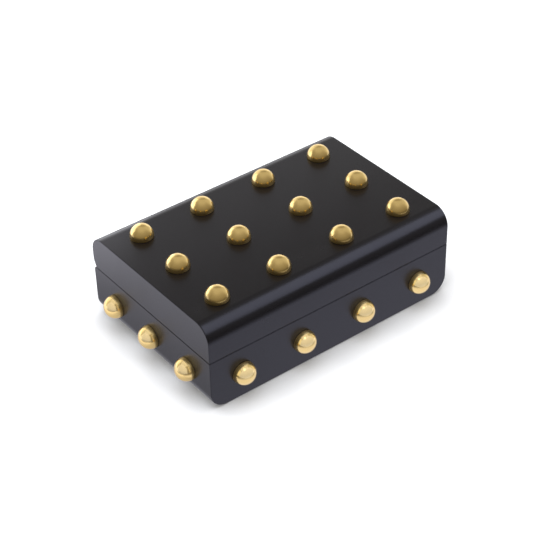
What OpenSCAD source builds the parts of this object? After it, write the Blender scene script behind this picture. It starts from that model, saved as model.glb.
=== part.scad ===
// Hinged trinket box: a low black lacquered box with a lift-up lid, studded
// with domed brass nails, lined inside and hung on two small brass hinges.
//
// +X runs along the length, +Y points to the hinge side (the back), +Z is up.
// The origin is the centre of the underside, on the surface the box stands on.

/* [Body] */
// Length of the box along X
body_w = 152.4; // [140:0.2:165]
// Depth of the box along Y, front face to back face
body_d = 100.7; // [94:0.1:110]
// Height of the base, its underside to the middle of the seam
base_h = 29.5; // [27:0.1:34]
// Height of the lid, the middle of the seam to its top
lid_h = 20.2; // [18.5:0.1:24]
// Thickness of the side walls of base and lid
wall = 9; // [8.8:0.1:11]
// Thickness of the floor of the base
floor_t = 8; // [7:0.1:10]
// Thickness of the top of the lid
top_t = 8; // [7:0.1:10]
// Radius along the two long top edges of the lid
lid_edge_r = 9.5; // [6:0.1:11]
// Radius along the two short bottom edges of the base
base_edge_r = 9.5; // [5:0.1:10]

/* [Seam] */
// Open gap between the rims of base and lid
seam_gap = 0.2; // [0.1:0.05:0.4]
// Bevel on both rims that draws the dark line of the seam
seam_bevel = 0.5; // [0.3:0.05:0.8]
// Radius of the curved relief under the back edge of the lid
relief_r = 9.5; // [8:0.1:11]
// Height of that relief above the seam
relief_h = 6.4; // [5.5:0.1:7]
// Radius along the back top edge of the base
back_edge_r = 2.0; // [1.8:0.1:2.4]

/* [Studs] */
// Radius of the dome of a stud
stud_dome_r = 6.05; // [5:0.05:6.3]
// Height of the centre of the dome above the face
stud_dome_rise = 0.8; // [0.4:0.05:1.2]
// Radius of the thin rim around the foot of a stud
stud_rim_r = 6.45; // [6.1:0.05:6.6]
// Thickness of that rim
stud_rim_t = 0.4; // [0.3:0.05:0.6]
// Radius of the narrow neck between rim and dome
stud_neck_r = 5.75; // [4.8:0.05:6]
// Radius of the nail shank of a stud
stud_shank_r = 1.2; // [0.9:0.05:1.5]
// Length of the nail shank below the face
stud_shank_l = 6.0; // [4:0.1:6.2]
// Distance from the middle to an inner column of lid studs
lid_col_inner = 19.85; // [18:0.05:21]
// Distance from the middle to an outer column of lid studs
lid_col_outer = 57.3; // [54:0.05:60]
// Distance from one row of lid studs to the next
lid_row_pitch = 32.4; // [29:0.1:33]
// Distance from the middle to an inner stud on the front and the back
front_col_inner = 19.1; // [18:0.05:21]
// Distance from the middle to an outer stud on the front and the back
front_col_outer = 56.6; // [54:0.05:60]
// Distance from one end stud to the next
end_pitch = 31.4; // [28:0.1:33]
// Height of the front, back and end studs above the underside of the base
side_stud_h = 14.6; // [13:0.1:15.5]

/* [Lining] */
// Thickness of the fabric-covered cards on the walls
card_t = 1.5; // [1:0.1:2.5]
// Thickness of the padded floor of the tray
tray_pad_t = 2.8; // [2:0.1:4]
// Thickness of the padded panel in the lid
lid_pad_t = 2.4; // [1.5:0.1:3]
// Distance from the rim down to the edge of the cards
card_drop = 1.2; // [0.8:0.1:2]
// Thickness of the felt under the base
felt_t = 0.5; // [0.3:0.1:1]

/* [Hinges] */
// Distance from the middle of the box to the middle of a hinge
hinge_x = 44; // [36:0.5:50]
// Length of a hinge
hinge_l = 22; // [20:0.5:26]
// Distance from the back face in to the hinge pin
pin_inset = 2.0; // [1.9:0.05:2.2]
// Height of the hinge pin above the seam
pin_rise = 1.0; // [0.9:0.05:1.2]
// Radius of the hinge barrel
barrel_r = 2.0; // [1.8:0.05:2.1]
// Radius of the hinge pin
pin_r = 0.8; // [0.7:0.05:0.9]
// Thickness of a hinge leaf
leaf_t = 0.8; // [0.6:0.05:0.9]
// Distance from the back face in to the inner edge of a leaf
leaf_reach = 8.2; // [7.8:0.05:8.3]
// Radius of the head of a hinge screw
screw_head_r = 1.4; // [1.2:0.05:1.5]
// Radius of the shank of a hinge screw
screw_r = 0.75; // [0.6:0.05:0.85]
// Length of a hinge screw
screw_l = 6.0; // [4:0.1:6.5]

/* [Hidden] */

$fn = 72;

z_under = felt_t;                   // underside of the lacquered base
z_seam = felt_t + base_h;           // middle of the seam
z_top = z_seam + lid_h;             // top face of the lid
z_base_rim = z_seam - seam_gap / 2; // top of the base's rim
z_lid_rim = z_seam + seam_gap / 2;  // underside of the lid's rim
z_floor = z_under + floor_t;        // floor of the tray, under its pad
z_ceiling = z_top - top_t;          // ceiling of the lid, above its pad
half_w = body_w / 2;
half_d = body_d / 2;
in_w = body_w - 2 * wall;           // clear length between the walls
in_d = body_d - 2 * wall;           // clear depth between the walls
pin_y = half_d - pin_inset;
pin_z = z_seam + pin_rise;

fit = 0.05;         // radial clearance of nails and screws in their holes
run = 0.05;         // radial clearance of the pin in the lid's knuckle
pocket = 0.3;       // clearance around the hinge barrel
knuckle_gap = 0.3;  // gap between neighbouring knuckles
knuckle_l = (hinge_l - 2 * knuckle_gap) / 3;
screw_x = 7;        // distance from the middle of a hinge to its screws
screw_y = half_d - 6.1;
head_h = 0.6;       // height of a screw's countersunk head
ease = 0.1;         // clearance around the lining pieces

// The studs were nailed by hand: each row of the lid sits a little off
// the next along X, and the rows on the sides a little off the middle.
lid_row_y = [lid_row_pitch - 0.2, -0.2, -lid_row_pitch - 0.2];
lid_row_x = [0.1, -0.55, -0.3];
front_shift = -0.3;
end_shift = 0.2;

lacquer = "#1b1a1d";
gold = "#d9b45f";
velvet = "#26242a";
felt = "#1a1a1c";
hinge_gold = "#c9a653";

/* ---- sections ---- */

// The part of a square corner that lies outside a quarter circle.
// The corner points to +X +Y, and the origin is the circle's centre.
module corner_outside(r) {
    difference() {
        square([r + 1, r + 1]);
        circle(r = r);
    }
}

// A rectangle about the origin with round corners.
module round_rect(w, d, r) {
    square([w - 2 * r, d], center = true);
    square([w, d - 2 * r], center = true);
    for (sx = [-1, 1], sy = [-1, 1])
        translate([sx * (w / 2 - r), sy * (d / 2 - r)]) circle(r = r);
}

// Extrudes a Y-Z section along X, over the length l about the middle.
module along_x(l) {
    translate([-l / 2, 0, 0]) rotate([90, 0, 90]) linear_extrude(height = l) children();
}

// Extrudes an X-Z section along Y, over the depth l about the middle.
module along_y(l) {
    translate([0, l / 2, 0]) rotate([90, 0, 0]) linear_extrude(height = l) children();
}

// Y-Z section of the lid: round long edges on top, bevelled front rim,
// and the curved relief under the back edge that lets the lid roll back.
module lid_section() {
    difference() {
        translate([-half_d, z_lid_rim]) square([body_d, z_top - z_lid_rim]);
        translate([half_d - lid_edge_r, z_top - lid_edge_r]) corner_outside(lid_edge_r);
        translate([-half_d + lid_edge_r, z_top - lid_edge_r])
            mirror([1, 0]) corner_outside(lid_edge_r);
        translate([half_d - relief_r, z_seam + relief_h]) difference() {
            translate([0, -relief_h - 1]) square([relief_r + 1, relief_h + 1]);
            circle(r = relief_r);
        }
        polygon([[-half_d - 1, z_lid_rim - 1], [-half_d + seam_bevel + 1, z_lid_rim - 1],
                 [-half_d - 1, z_lid_rim + seam_bevel + 1]]);
    }
}

// X-Z outline of the lid: square ends with a bevelled rim.
module lid_outline() {
    polygon([[-half_w + seam_bevel, z_lid_rim], [half_w - seam_bevel, z_lid_rim],
             [half_w, z_lid_rim + seam_bevel], [half_w, z_top + 1],
             [-half_w, z_top + 1], [-half_w, z_lid_rim + seam_bevel]]);
}

// X-Z section of the base: round short edges below, bevelled rim above.
module base_section() {
    difference() {
        translate([-half_w, z_under]) square([body_w, z_base_rim - z_under]);
        for (s = [0, 1]) mirror([s, 0]) {
            translate([half_w - base_edge_r, z_under + base_edge_r])
                mirror([0, 1]) corner_outside(base_edge_r);
            polygon([[half_w + 1, z_base_rim + 1], [half_w - seam_bevel - 1, z_base_rim + 1],
                     [half_w + 1, z_base_rim - seam_bevel - 1]]);
        }
    }
}

// Y-Z outline of the base: bevelled rim in front, round edge at the back.
module base_outline() {
    difference() {
        translate([-half_d, z_under - 1]) square([body_d, z_base_rim - z_under + 1]);
        translate([half_d - back_edge_r, z_base_rim - back_edge_r]) corner_outside(back_edge_r);
        polygon([[-half_d - 1, z_base_rim + 1], [-half_d + seam_bevel + 1, z_base_rim + 1],
                 [-half_d - 1, z_base_rim - seam_bevel - 1]]);
    }
}

/* ---- studs ---- */

// One stud on the plane z = 0, its dome towards +Z and its nail below.
module stud() {
    cylinder(h = stud_rim_t, r = stud_rim_r);
    cylinder(h = stud_rim_t + 0.4, r = stud_neck_r);
    difference() {
        translate([0, 0, stud_dome_rise]) sphere(r = stud_dome_r);
        translate([0, 0, -10 + stud_rim_t + 0.2]) cube([20, 20, 20], center = true);
    }
    translate([0, 0, -stud_shank_l]) cylinder(h = stud_shank_l + 0.1, r = stud_shank_r);
}

// The blind hole for its nail.
module stud_hole() {
    translate([0, 0, -stud_shank_l - 0.3])
        cylinder(h = stud_shank_l + 1.3, r = stud_shank_r + fit);
}

// Four places along X, two inner and two outer ones.
function four(inner, outer, shift) = [-outer + shift, -inner + shift, inner + shift, outer + shift];

module at_lid_row(i) {
    for (x = four(lid_col_inner, lid_col_outer, lid_row_x[i]))
        translate([x, lid_row_y[i], z_top]) children();
}
module at_front() {
    for (x = four(front_col_inner, front_col_outer, front_shift))
        translate([x, -half_d, z_under + side_stud_h]) rotate([90, 0, 0]) children();
}
module at_back() {
    for (x = four(front_col_inner, front_col_outer, front_shift))
        translate([x, half_d, z_under + side_stud_h]) rotate([-90, 0, 0]) children();
}
module at_left_end() {
    for (i = [-1, 0, 1])
        translate([-half_w, i * end_pitch + end_shift, z_under + side_stud_h])
            rotate([0, -90, 0]) children();
}
module at_right_end() {
    for (i = [-1, 0, 1])
        translate([half_w, i * end_pitch + end_shift, z_under + side_stud_h])
            rotate([0, 90, 0]) children();
}

/* ---- hinges ---- */

// A cylinder along X about the middle of a hinge, on the pin's axis.
module on_pin(l, r) {
    translate([-l / 2, pin_y, pin_z]) rotate([0, 90, 0]) cylinder(h = l, r = r);
}

module at_hinge(s) {
    translate([s * hinge_x, 0, 0]) children();
}

// The two outer knuckles belong to the base leaf, the middle one to the lid leaf.
module outer_knuckles(r) {
    for (s = [-1, 1])
        translate([s * (knuckle_l + knuckle_gap), 0, 0]) on_pin(knuckle_l, r);
}

// One countersunk screw, its head flush with z = 0 and its shank below.
module hinge_screw() {
    translate([0, 0, -head_h]) cylinder(h = head_h, r1 = screw_r, r2 = screw_head_r);
    translate([0, 0, -screw_l]) cylinder(h = screw_l - head_h + 0.01, r = screw_r);
}

// The countersunk hole that it sits in.
module hinge_screw_hole() {
    translate([0, 0, -head_h]) cylinder(h = head_h + 0.02, r1 = screw_r + fit, r2 = screw_head_r + fit);
    translate([0, 0, -screw_l - 0.3]) cylinder(h = screw_l + 0.3, r = screw_r + fit);
}

// The four screws of the base point down, those of the lid point up.
module at_base_screws(s) {
    for (i = [-1, 1])
        translate([s * hinge_x + i * screw_x, screw_y, z_base_rim]) children();
}
module at_lid_screws(s) {
    for (i = [-1, 1])
        translate([s * hinge_x + i * screw_x, screw_y, z_lid_rim]) mirror([0, 0, 1]) children();
}

module base_leaf(s) {
    difference() {
        at_hinge(s) {
            difference() {
                union() {
                    translate([-hinge_l / 2, half_d - leaf_reach, z_base_rim - leaf_t])
                        cube([hinge_l, leaf_reach - pin_inset, leaf_t]);
                    outer_knuckles(barrel_r);
                }
                // room for the lid's knuckle
                on_pin(knuckle_l + 2 * knuckle_gap, barrel_r + 0.25);
                on_pin(hinge_l + 1, pin_r);
            }
        }
        at_base_screws(s) hinge_screw_hole();
    }
}

module lid_leaf(s) {
    difference() {
        at_hinge(s) {
            difference() {
                union() {
                    translate([-hinge_l / 2, half_d - leaf_reach, z_lid_rim])
                        cube([hinge_l, leaf_reach - pin_inset - 1, leaf_t]);
                    on_pin(knuckle_l, barrel_r);
                }
                // room for the base's knuckles
                for (d = [-1, 1])
                    translate([d * (knuckle_l + 1.5 * knuckle_gap), 0, 0])
                        on_pin(knuckle_l + 2 * knuckle_gap, barrel_r + 0.25);
                on_pin(hinge_l + 1, pin_r + run);
            }
        }
        at_lid_screws(s) hinge_screw_hole();
    }
}

module hinge_pin(s) {
    at_hinge(s) on_pin(hinge_l, pin_r);
}

// What a hinge cuts out of the base: the leaf's mortise and the barrel's pocket.
module base_hinge_cut(s) {
    at_hinge(s) {
        translate([-hinge_l / 2 - ease, half_d - leaf_reach - ease, z_base_rim - leaf_t])
            cube([hinge_l + 2 * ease, leaf_reach - pin_inset + ease, leaf_t + 1]);
        on_pin(hinge_l + 2 * pocket, barrel_r + pocket);
    }
    at_base_screws(s) hinge_screw_hole();
}

// What it cuts out of the lid, open to the back for the barrel.
module lid_hinge_cut(s) {
    at_hinge(s) {
        translate([-hinge_l / 2 - ease, half_d - leaf_reach - ease, z_lid_rim - 1])
            cube([hinge_l + 2 * ease, leaf_reach - pin_inset + ease, leaf_t + 1]);
        on_pin(hinge_l + 2 * pocket, barrel_r + pocket);
        translate([-hinge_l / 2 - pocket, pin_y, z_lid_rim - 1])
            cube([hinge_l + 2 * pocket, pin_inset + 1, pin_rise + barrel_r + pocket + 1 - seam_gap / 2]);
    }
    at_lid_screws(s) hinge_screw_hole();
}

/* ---- base ---- */

module base_shell() {
    color(lacquer) difference() {
        intersection() {
            along_y(body_d) base_section();
            along_x(body_w) base_outline();
        }
        translate([-in_w / 2, -in_d / 2, z_floor]) cube([in_w, in_d, base_h]);
        at_front() stud_hole();
        at_back() stud_hole();
        at_left_end() stud_hole();
        at_right_end() stud_hole();
        for (s = [-1, 1]) base_hinge_cut(s);
    }
}

// Felt under the base, set in from the edges: the face the box stands on.
module base_felt_pad() {
    color(felt) linear_extrude(height = felt_t)
        round_rect(body_w - 2 * base_edge_r - 5, body_d - 7, 3);
}

module front_studs() { color(gold) at_front() stud(); }
module back_studs() { color(gold) at_back() stud(); }
module left_end_studs() { color(gold) at_left_end() stud(); }
module right_end_studs() { color(gold) at_right_end() stud(); }

// Padded floor of the tray, between the wall cards.
module tray_floor_pad() {
    color(velvet)
        translate([0, 0, z_floor]) linear_extrude(height = tray_pad_t)
            round_rect(in_w - 2 * card_t - 2 * ease, in_d - 2 * card_t - 2 * ease, 0.8);
}

// One fabric-covered card, standing on z = 0, with a round upper edge.
module card(l, h) {
    along_x(l) {
        translate([-card_t / 2, 0]) square([card_t, h - card_t / 2]);
        translate([0, h - card_t / 2]) circle(d = card_t);
    }
}

tray_card_h = z_base_rim - card_drop - z_floor;
card_long = in_w - 2 * ease;
card_short = in_d - 2 * card_t - 2 * ease;
card_off_y = in_d / 2 - card_t / 2;
card_off_x = in_w / 2 - card_t / 2;

module tray_lining_front() {
    color(velvet) translate([0, -card_off_y, z_floor]) card(card_long, tray_card_h);
}
module tray_lining_back() {
    color(velvet) translate([0, card_off_y, z_floor]) card(card_long, tray_card_h);
}
module tray_lining_left() {
    color(velvet) translate([-card_off_x, 0, z_floor]) rotate([0, 0, 90]) card(card_short, tray_card_h);
}
module tray_lining_right() {
    color(velvet) translate([card_off_x, 0, z_floor]) rotate([0, 0, 90]) card(card_short, tray_card_h);
}

module hinge_left_base_leaf() { color(hinge_gold) base_leaf(-1); }
module hinge_right_base_leaf() { color(hinge_gold) base_leaf(1); }
module hinge_left_pin() { color(hinge_gold) hinge_pin(-1); }
module hinge_right_pin() { color(hinge_gold) hinge_pin(1); }
module hinge_base_screws() {
    color(hinge_gold) for (s = [-1, 1]) at_base_screws(s) hinge_screw();
}

/* ---- lid ---- */

module lid_shell() {
    color(lacquer) difference() {
        intersection() {
            along_x(body_w) lid_section();
            along_y(body_d + 2) lid_outline();
        }
        translate([-in_w / 2, -in_d / 2, z_lid_rim - 1]) cube([in_w, in_d, z_ceiling - z_lid_rim + 1]);
        for (i = [0, 1, 2]) at_lid_row(i) stud_hole();
        for (s = [-1, 1]) lid_hinge_cut(s);
    }
}

module lid_studs_back_row() { color(gold) at_lid_row(0) stud(); }
module lid_studs_middle_row() { color(gold) at_lid_row(1) stud(); }
module lid_studs_front_row() { color(gold) at_lid_row(2) stud(); }

// Padded panel against the ceiling of the lid.
module lid_top_pad() {
    color(velvet)
        translate([0, 0, z_ceiling - lid_pad_t]) linear_extrude(height = lid_pad_t)
            round_rect(in_w - 2 * card_t - 2 * ease, in_d - 2 * card_t - 2 * ease, 0.8);
}

lid_card_h = z_ceiling - z_lid_rim - card_drop;

module lid_card(l) {
    mirror([0, 0, 1]) card(l, lid_card_h);
}
module lid_lining_front() {
    color(velvet) translate([0, -card_off_y, z_ceiling]) lid_card(card_long);
}
module lid_lining_back() {
    color(velvet) translate([0, card_off_y, z_ceiling]) lid_card(card_long);
}
module lid_lining_left() {
    color(velvet) translate([-card_off_x, 0, z_ceiling]) rotate([0, 0, 90]) lid_card(card_short);
}
module lid_lining_right() {
    color(velvet) translate([card_off_x, 0, z_ceiling]) rotate([0, 0, 90]) lid_card(card_short);
}

module hinge_left_lid_leaf() { color(hinge_gold) lid_leaf(-1); }
module hinge_right_lid_leaf() { color(hinge_gold) lid_leaf(1); }
module hinge_lid_screws() {
    color(hinge_gold) for (s = [-1, 1]) at_lid_screws(s) hinge_screw();
}

/* ---- the box ---- */

base_shell();
base_felt_pad();
front_studs();
back_studs();
left_end_studs();
right_end_studs();
tray_floor_pad();
tray_lining_front();
tray_lining_back();
tray_lining_left();
tray_lining_right();
hinge_left_base_leaf();
hinge_left_pin();
hinge_right_base_leaf();
hinge_right_pin();
hinge_base_screws();
lid_shell();
lid_studs_back_row();
lid_studs_middle_row();
lid_studs_front_row();
lid_top_pad();
lid_lining_front();
lid_lining_back();
lid_lining_left();
lid_lining_right();
hinge_left_lid_leaf();
hinge_right_lid_leaf();
hinge_lid_screws();
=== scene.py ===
import math

import bmesh
import bpy
import numpy as np
from mathutils import Matrix, Vector


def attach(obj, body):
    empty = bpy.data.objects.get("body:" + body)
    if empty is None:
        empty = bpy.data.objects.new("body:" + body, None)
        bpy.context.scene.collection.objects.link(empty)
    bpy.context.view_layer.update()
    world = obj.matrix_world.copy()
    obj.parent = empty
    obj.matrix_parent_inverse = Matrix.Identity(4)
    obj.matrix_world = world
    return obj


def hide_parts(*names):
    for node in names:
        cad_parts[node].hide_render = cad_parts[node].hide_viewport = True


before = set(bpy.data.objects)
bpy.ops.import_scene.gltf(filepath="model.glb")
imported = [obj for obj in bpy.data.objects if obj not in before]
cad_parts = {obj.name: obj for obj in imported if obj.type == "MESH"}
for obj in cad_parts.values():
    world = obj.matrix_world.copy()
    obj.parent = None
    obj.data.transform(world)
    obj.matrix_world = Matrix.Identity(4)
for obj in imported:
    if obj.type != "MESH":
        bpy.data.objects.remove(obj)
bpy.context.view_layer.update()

MM = 0.001
scene = bpy.context.scene

# ---------------------------------------------------------------- sizes, mm
HW, HD = 152.4 / 2, 100.7 / 2          # half length, half depth
Z_UNDER, Z_SEAM, Z_TOP = 0.5, 30.0, 50.2
Z_BRIM, Z_LRIM = 29.9, 30.1            # rims of base and lid
Z_FLOOR, Z_CEIL = 8.5, 42.2            # under the tray pad, above the lid pad
IN_W, IN_D = 134.4, 82.7               # clear opening between the walls
EDGE_R = 9.5                           # lid's long top edges, base's short bottom edges
ARRIS = 0.38                           # softened arris of the lacquered wood
PIN_Y, PIN_Z = HD - 2.0, Z_SEAM + 1.0
BARREL_R, PIN_R = 2.0, 0.8
HINGE_X, HINGE_L = 44.0, 22.0
GAP_K = 0.3
KNUCKLE_L = (HINGE_L - 2 * GAP_K) / 3
LEAF_T, LEAF_REACH = 0.8, 8.2
SCREW_X, SCREW_Y = 7.0, HD - 6.1
CARD_T = 1.5

LID_ROWS = [(32.2, 0.1), (-0.2, -0.55), (-32.6, -0.3)]       # y and shift along X, back to front
LID_COLS = (-57.3, -19.85, 19.85, 57.3)
SIDE_COLS = [x - 0.3 for x in (-56.6, -19.1, 19.1, 56.6)]
END_ROWS = [i * 31.4 + 0.2 for i in (-1, 0, 1)]
STUD_Z = Z_UNDER + 14.6


# ---------------------------------------------------------------- helpers
def link(obj):
    scene.collection.objects.link(obj)
    return obj


def from_bmesh(name, bm, material, smooth_deg=35.0):
    """A new object from a bmesh in millimetres."""
    bmesh.ops.recalc_face_normals(bm, faces=bm.faces)
    me = bpy.data.meshes.new(name)
    bm.to_mesh(me)
    bm.free()
    me.transform(Matrix.Scale(MM, 4))
    return finish_mesh(name, me, material, smooth_deg)


def finish_mesh(name, me, material, smooth_deg=35.0):
    me.polygons.foreach_set("use_smooth", [True] * len(me.polygons))
    me.set_sharp_from_angle(angle=math.radians(smooth_deg))
    me.materials.clear()
    me.materials.append(material)
    me.update()
    return link(bpy.data.objects.new(name, me))


def from_lists(name, verts, faces, material, smooth_deg=35.0):
    bm = bmesh.new()
    vs = [bm.verts.new(v) for v in verts]
    for f in faces:
        bm.faces.new([vs[i] for i in f])
    return from_bmesh(name, bm, material, smooth_deg)


def applied(obj):
    """Replaces an object's mesh by its evaluated one and drops its modifiers."""
    dg = bpy.context.evaluated_depsgraph_get()
    me = bpy.data.meshes.new_from_object(obj.evaluated_get(dg), preserve_all_data_layers=True, depsgraph=dg)
    old = obj.data
    obj.modifiers.clear()
    obj.data = me
    bpy.data.meshes.remove(old)
    return obj


def flat_weighted(obj):
    """Keeps large faces flat next to their rounded arrises."""
    m = obj.modifiers.new("flat", "WEIGHTED_NORMAL")
    m.mode, m.weight, m.keep_sharp = "FACE_AREA", 50, True
    return applied(obj)


def cut(obj, *cutters):
    for c in cutters:
        m = obj.modifiers.new("cut", "BOOLEAN")
        m.operation, m.solver, m.object = "DIFFERENCE", "EXACT", c
    applied(obj)
    for c in cutters:
        me = c.data
        bpy.data.objects.remove(c)
        bpy.data.meshes.remove(me)
    return obj


def prism(points, axis, a, b):
    """A bmesh: a flat outline swept along X or Y from a to b."""
    bm = bmesh.new()
    place = (lambda p, t: (t, p[0], p[1])) if axis == "x" else (lambda p, t: (p[0], t, p[1]))
    lo = [bm.verts.new(place(p, a)) for p in points]
    hi = [bm.verts.new(place(p, b)) for p in points]
    n = len(points)
    bm.faces.new(lo)
    bm.faces.new(hi[::-1])
    for i in range(n):
        j = (i + 1) % n
        bm.faces.new((lo[i], hi[i], hi[j], lo[j]))
    bmesh.ops.recalc_face_normals(bm, faces=bm.faces)
    return bm


def arc(cx, cy, r, a0, a1, n):
    return [(cx + r * math.cos(math.radians(a0 + (a1 - a0) * i / n)),
             cy + r * math.sin(math.radians(a0 + (a1 - a0) * i / n))) for i in range(n + 1)]


def round_sharp(bm, r, segments=3, over=30.0, where=None):
    """Rounds every edge that is sharper than an angle."""
    edges = [e for e in bm.edges if len(e.link_faces) == 2
             and math.degrees(e.calc_face_angle(0.0)) > over
             and (where is None or where(e))]
    bmesh.ops.bevel(bm, geom=edges, offset=r, offset_type="OFFSET", segments=segments,
                    profile=0.5, affect="EDGES", clamp_overlap=True)


def lathe(profile, segments):
    """Verts and faces of a profile of (radius, height) turned about +Z. Ends with radius 0 close it."""
    verts, faces, rings = [], [], []
    for r, z in profile:
        if r < 1e-6:
            rings.append([len(verts)])
            verts.append((0.0, 0.0, z))
        else:
            rings.append(list(range(len(verts), len(verts) + segments)))
            for k in range(segments):
                t = 2 * math.pi * k / segments
                verts.append((r * math.cos(t), r * math.sin(t), z))
    for p, q in zip(rings, rings[1:]):
        for k in range(segments):
            m = (k + 1) % segments
            if len(p) == 1:
                faces.append((p[0], q[m], q[k]))
            elif len(q) == 1:
                faces.append((p[k], p[m], q[0]))
            else:
                faces.append((p[k], p[m], q[m], q[k]))
    return verts, faces


def cylinder(bm, centre, axis, r, a, b, segments=20):
    """Adds a closed cylinder to a bmesh, from a to b along an axis through centre."""
    axis = Vector(axis).normalized()
    u = axis.orthogonal().normalized()
    w = axis.cross(u)
    rings = []
    for t in (a, b):
        rings.append([bm.verts.new(Vector(centre) + axis * t
                                   + r * (math.cos(2 * math.pi * k / segments) * u
                                          + math.sin(2 * math.pi * k / segments) * w))
                      for k in range(segments)])
    bm.faces.new(rings[0][::-1])
    bm.faces.new(rings[1])
    for k in range(segments):
        m = (k + 1) % segments
        bm.faces.new((rings[0][k], rings[0][m], rings[1][m], rings[1][k]))


def block(bm, lo, hi):
    """Adds a closed block to a bmesh."""
    v = [bm.verts.new((x, y, z)) for x in (lo[0], hi[0]) for y in (lo[1], hi[1]) for z in (lo[2], hi[2])]
    for f in ((0, 1, 3, 2), (4, 6, 7, 5), (0, 4, 5, 1), (2, 3, 7, 6), (0, 2, 6, 4), (1, 5, 7, 3)):
        bm.faces.new([v[i] for i in f])


def cutter(name, bm):
    bmesh.ops.recalc_face_normals(bm, faces=bm.faces)
    me = bpy.data.meshes.new(name)
    bm.to_mesh(me)
    bm.free()
    me.transform(Matrix.Scale(MM, 4))
    return link(bpy.data.objects.new(name, me))


# ---------------------------------------------------------------- materials
def shader(name):
    mat = bpy.data.materials.new(name)
    mat.use_nodes = True
    nt = mat.node_tree
    nt.nodes.clear()
    out = nt.nodes.new("ShaderNodeOutputMaterial")
    bsdf = nt.nodes.new("ShaderNodeBsdfPrincipled")
    nt.links.new(bsdf.outputs[0], out.inputs[0])
    coord = nt.nodes.new("ShaderNodeTexCoord").outputs["Object"]
    return mat, nt, bsdf, coord


def noise(nt, coord, scale, detail=3.0, rough=0.5, distortion=0.0):
    n = nt.nodes.new("ShaderNodeTexNoise")
    nt.links.new(coord, n.inputs["Vector"])
    n.inputs["Scale"].default_value = scale
    n.inputs["Detail"].default_value = detail
    n.inputs["Roughness"].default_value = rough
    n.inputs["Distortion"].default_value = distortion
    return n.outputs[0]


def ramp(nt, value, stops):
    r = nt.nodes.new("ShaderNodeValToRGB")
    nt.links.new(value, r.inputs[0])
    el = r.color_ramp.elements
    while len(el) < len(stops):
        el.new(0.5)
    for e, (p, c) in zip(el, stops):
        e.position = p
        e.color = (c, c, c, 1.0) if isinstance(c, (int, float)) else (*c, 1.0)
    return r.outputs[0]


def remap(nt, value, lo, hi, to_lo, to_hi):
    m = nt.nodes.new("ShaderNodeMapRange")
    nt.links.new(value, m.inputs[0])
    for i, x in enumerate((lo, hi, to_lo, to_hi)):
        m.inputs[i + 1].default_value = x
    return m.outputs[0]


def mix_colour(nt, fac, a, b, mode="MIX"):
    m = nt.nodes.new("ShaderNodeMix")
    m.data_type, m.blend_type = "RGBA", mode
    for sock, x in ((m.inputs[0], fac), (m.inputs[6], a), (m.inputs[7], b)):
        if isinstance(x, bpy.types.NodeSocket):
            nt.links.new(x, sock)
        elif isinstance(x, (int, float)):
            sock.default_value = x
        else:
            sock.default_value = (*x, 1.0)
    return m.outputs[2]


def math_node(nt, op, a, b=None):
    m = nt.nodes.new("ShaderNodeMath")
    m.operation = op
    for sock, x in ((m.inputs[0], a), (m.inputs[1], b)):
        if isinstance(x, bpy.types.NodeSocket):
            nt.links.new(x, sock)
        elif x is not None:
            sock.default_value = x
    return m.outputs[0]


def bump(nt, bsdf, height, strength, distance, chain=None):
    b = nt.nodes.new("ShaderNodeBump")
    b.inputs["Strength"].default_value = strength
    b.inputs["Distance"].default_value = distance
    nt.links.new(height, b.inputs["Height"])
    if chain is not None:
        nt.links.new(chain, b.inputs["Normal"])
    nt.links.new(b.outputs[0], bsdf.inputs["Normal"])
    return b.outputs[0]


def lacquer_material():
    mat, nt, bsdf, co = shader("satin_black_lacquer")
    cloud = noise(nt, co, 14.0, 4.0, 0.55, 0.4)
    col = ramp(nt, cloud, [(0.30, (0.0048, 0.0045, 0.0068)), (0.72, (0.0068, 0.0064, 0.0094))])
    dust = noise(nt, co, 2600.0, 1.0, 0.4)
    speck = ramp(nt, dust, [(0.76, 0.0), (0.82, 1.0)])
    col = mix_colour(nt, math_node(nt, "MULTIPLY", speck, 0.12), col, (0.045, 0.043, 0.045))
    nt.links.new(col, bsdf.inputs["Base Color"])
    smear = noise(nt, co, 34.0, 5.0, 0.6, 1.2)
    nt.links.new(remap(nt, smear, 0.25, 0.75, 0.22, 0.28), bsdf.inputs["Roughness"])
    bsdf.inputs["IOR"].default_value = 1.38
    bsdf.inputs["Specular Tint"].default_value = (0.97, 0.95, 1.0, 1.0)
    peel = noise(nt, co, 420.0, 1.0, 0.5)
    first = bump(nt, bsdf, peel, 0.010, 0.0002)
    fine = noise(nt, co, 3200.0, 2.0, 0.6)
    bump(nt, bsdf, fine, 0.011, 0.00005, first)
    return mat


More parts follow.
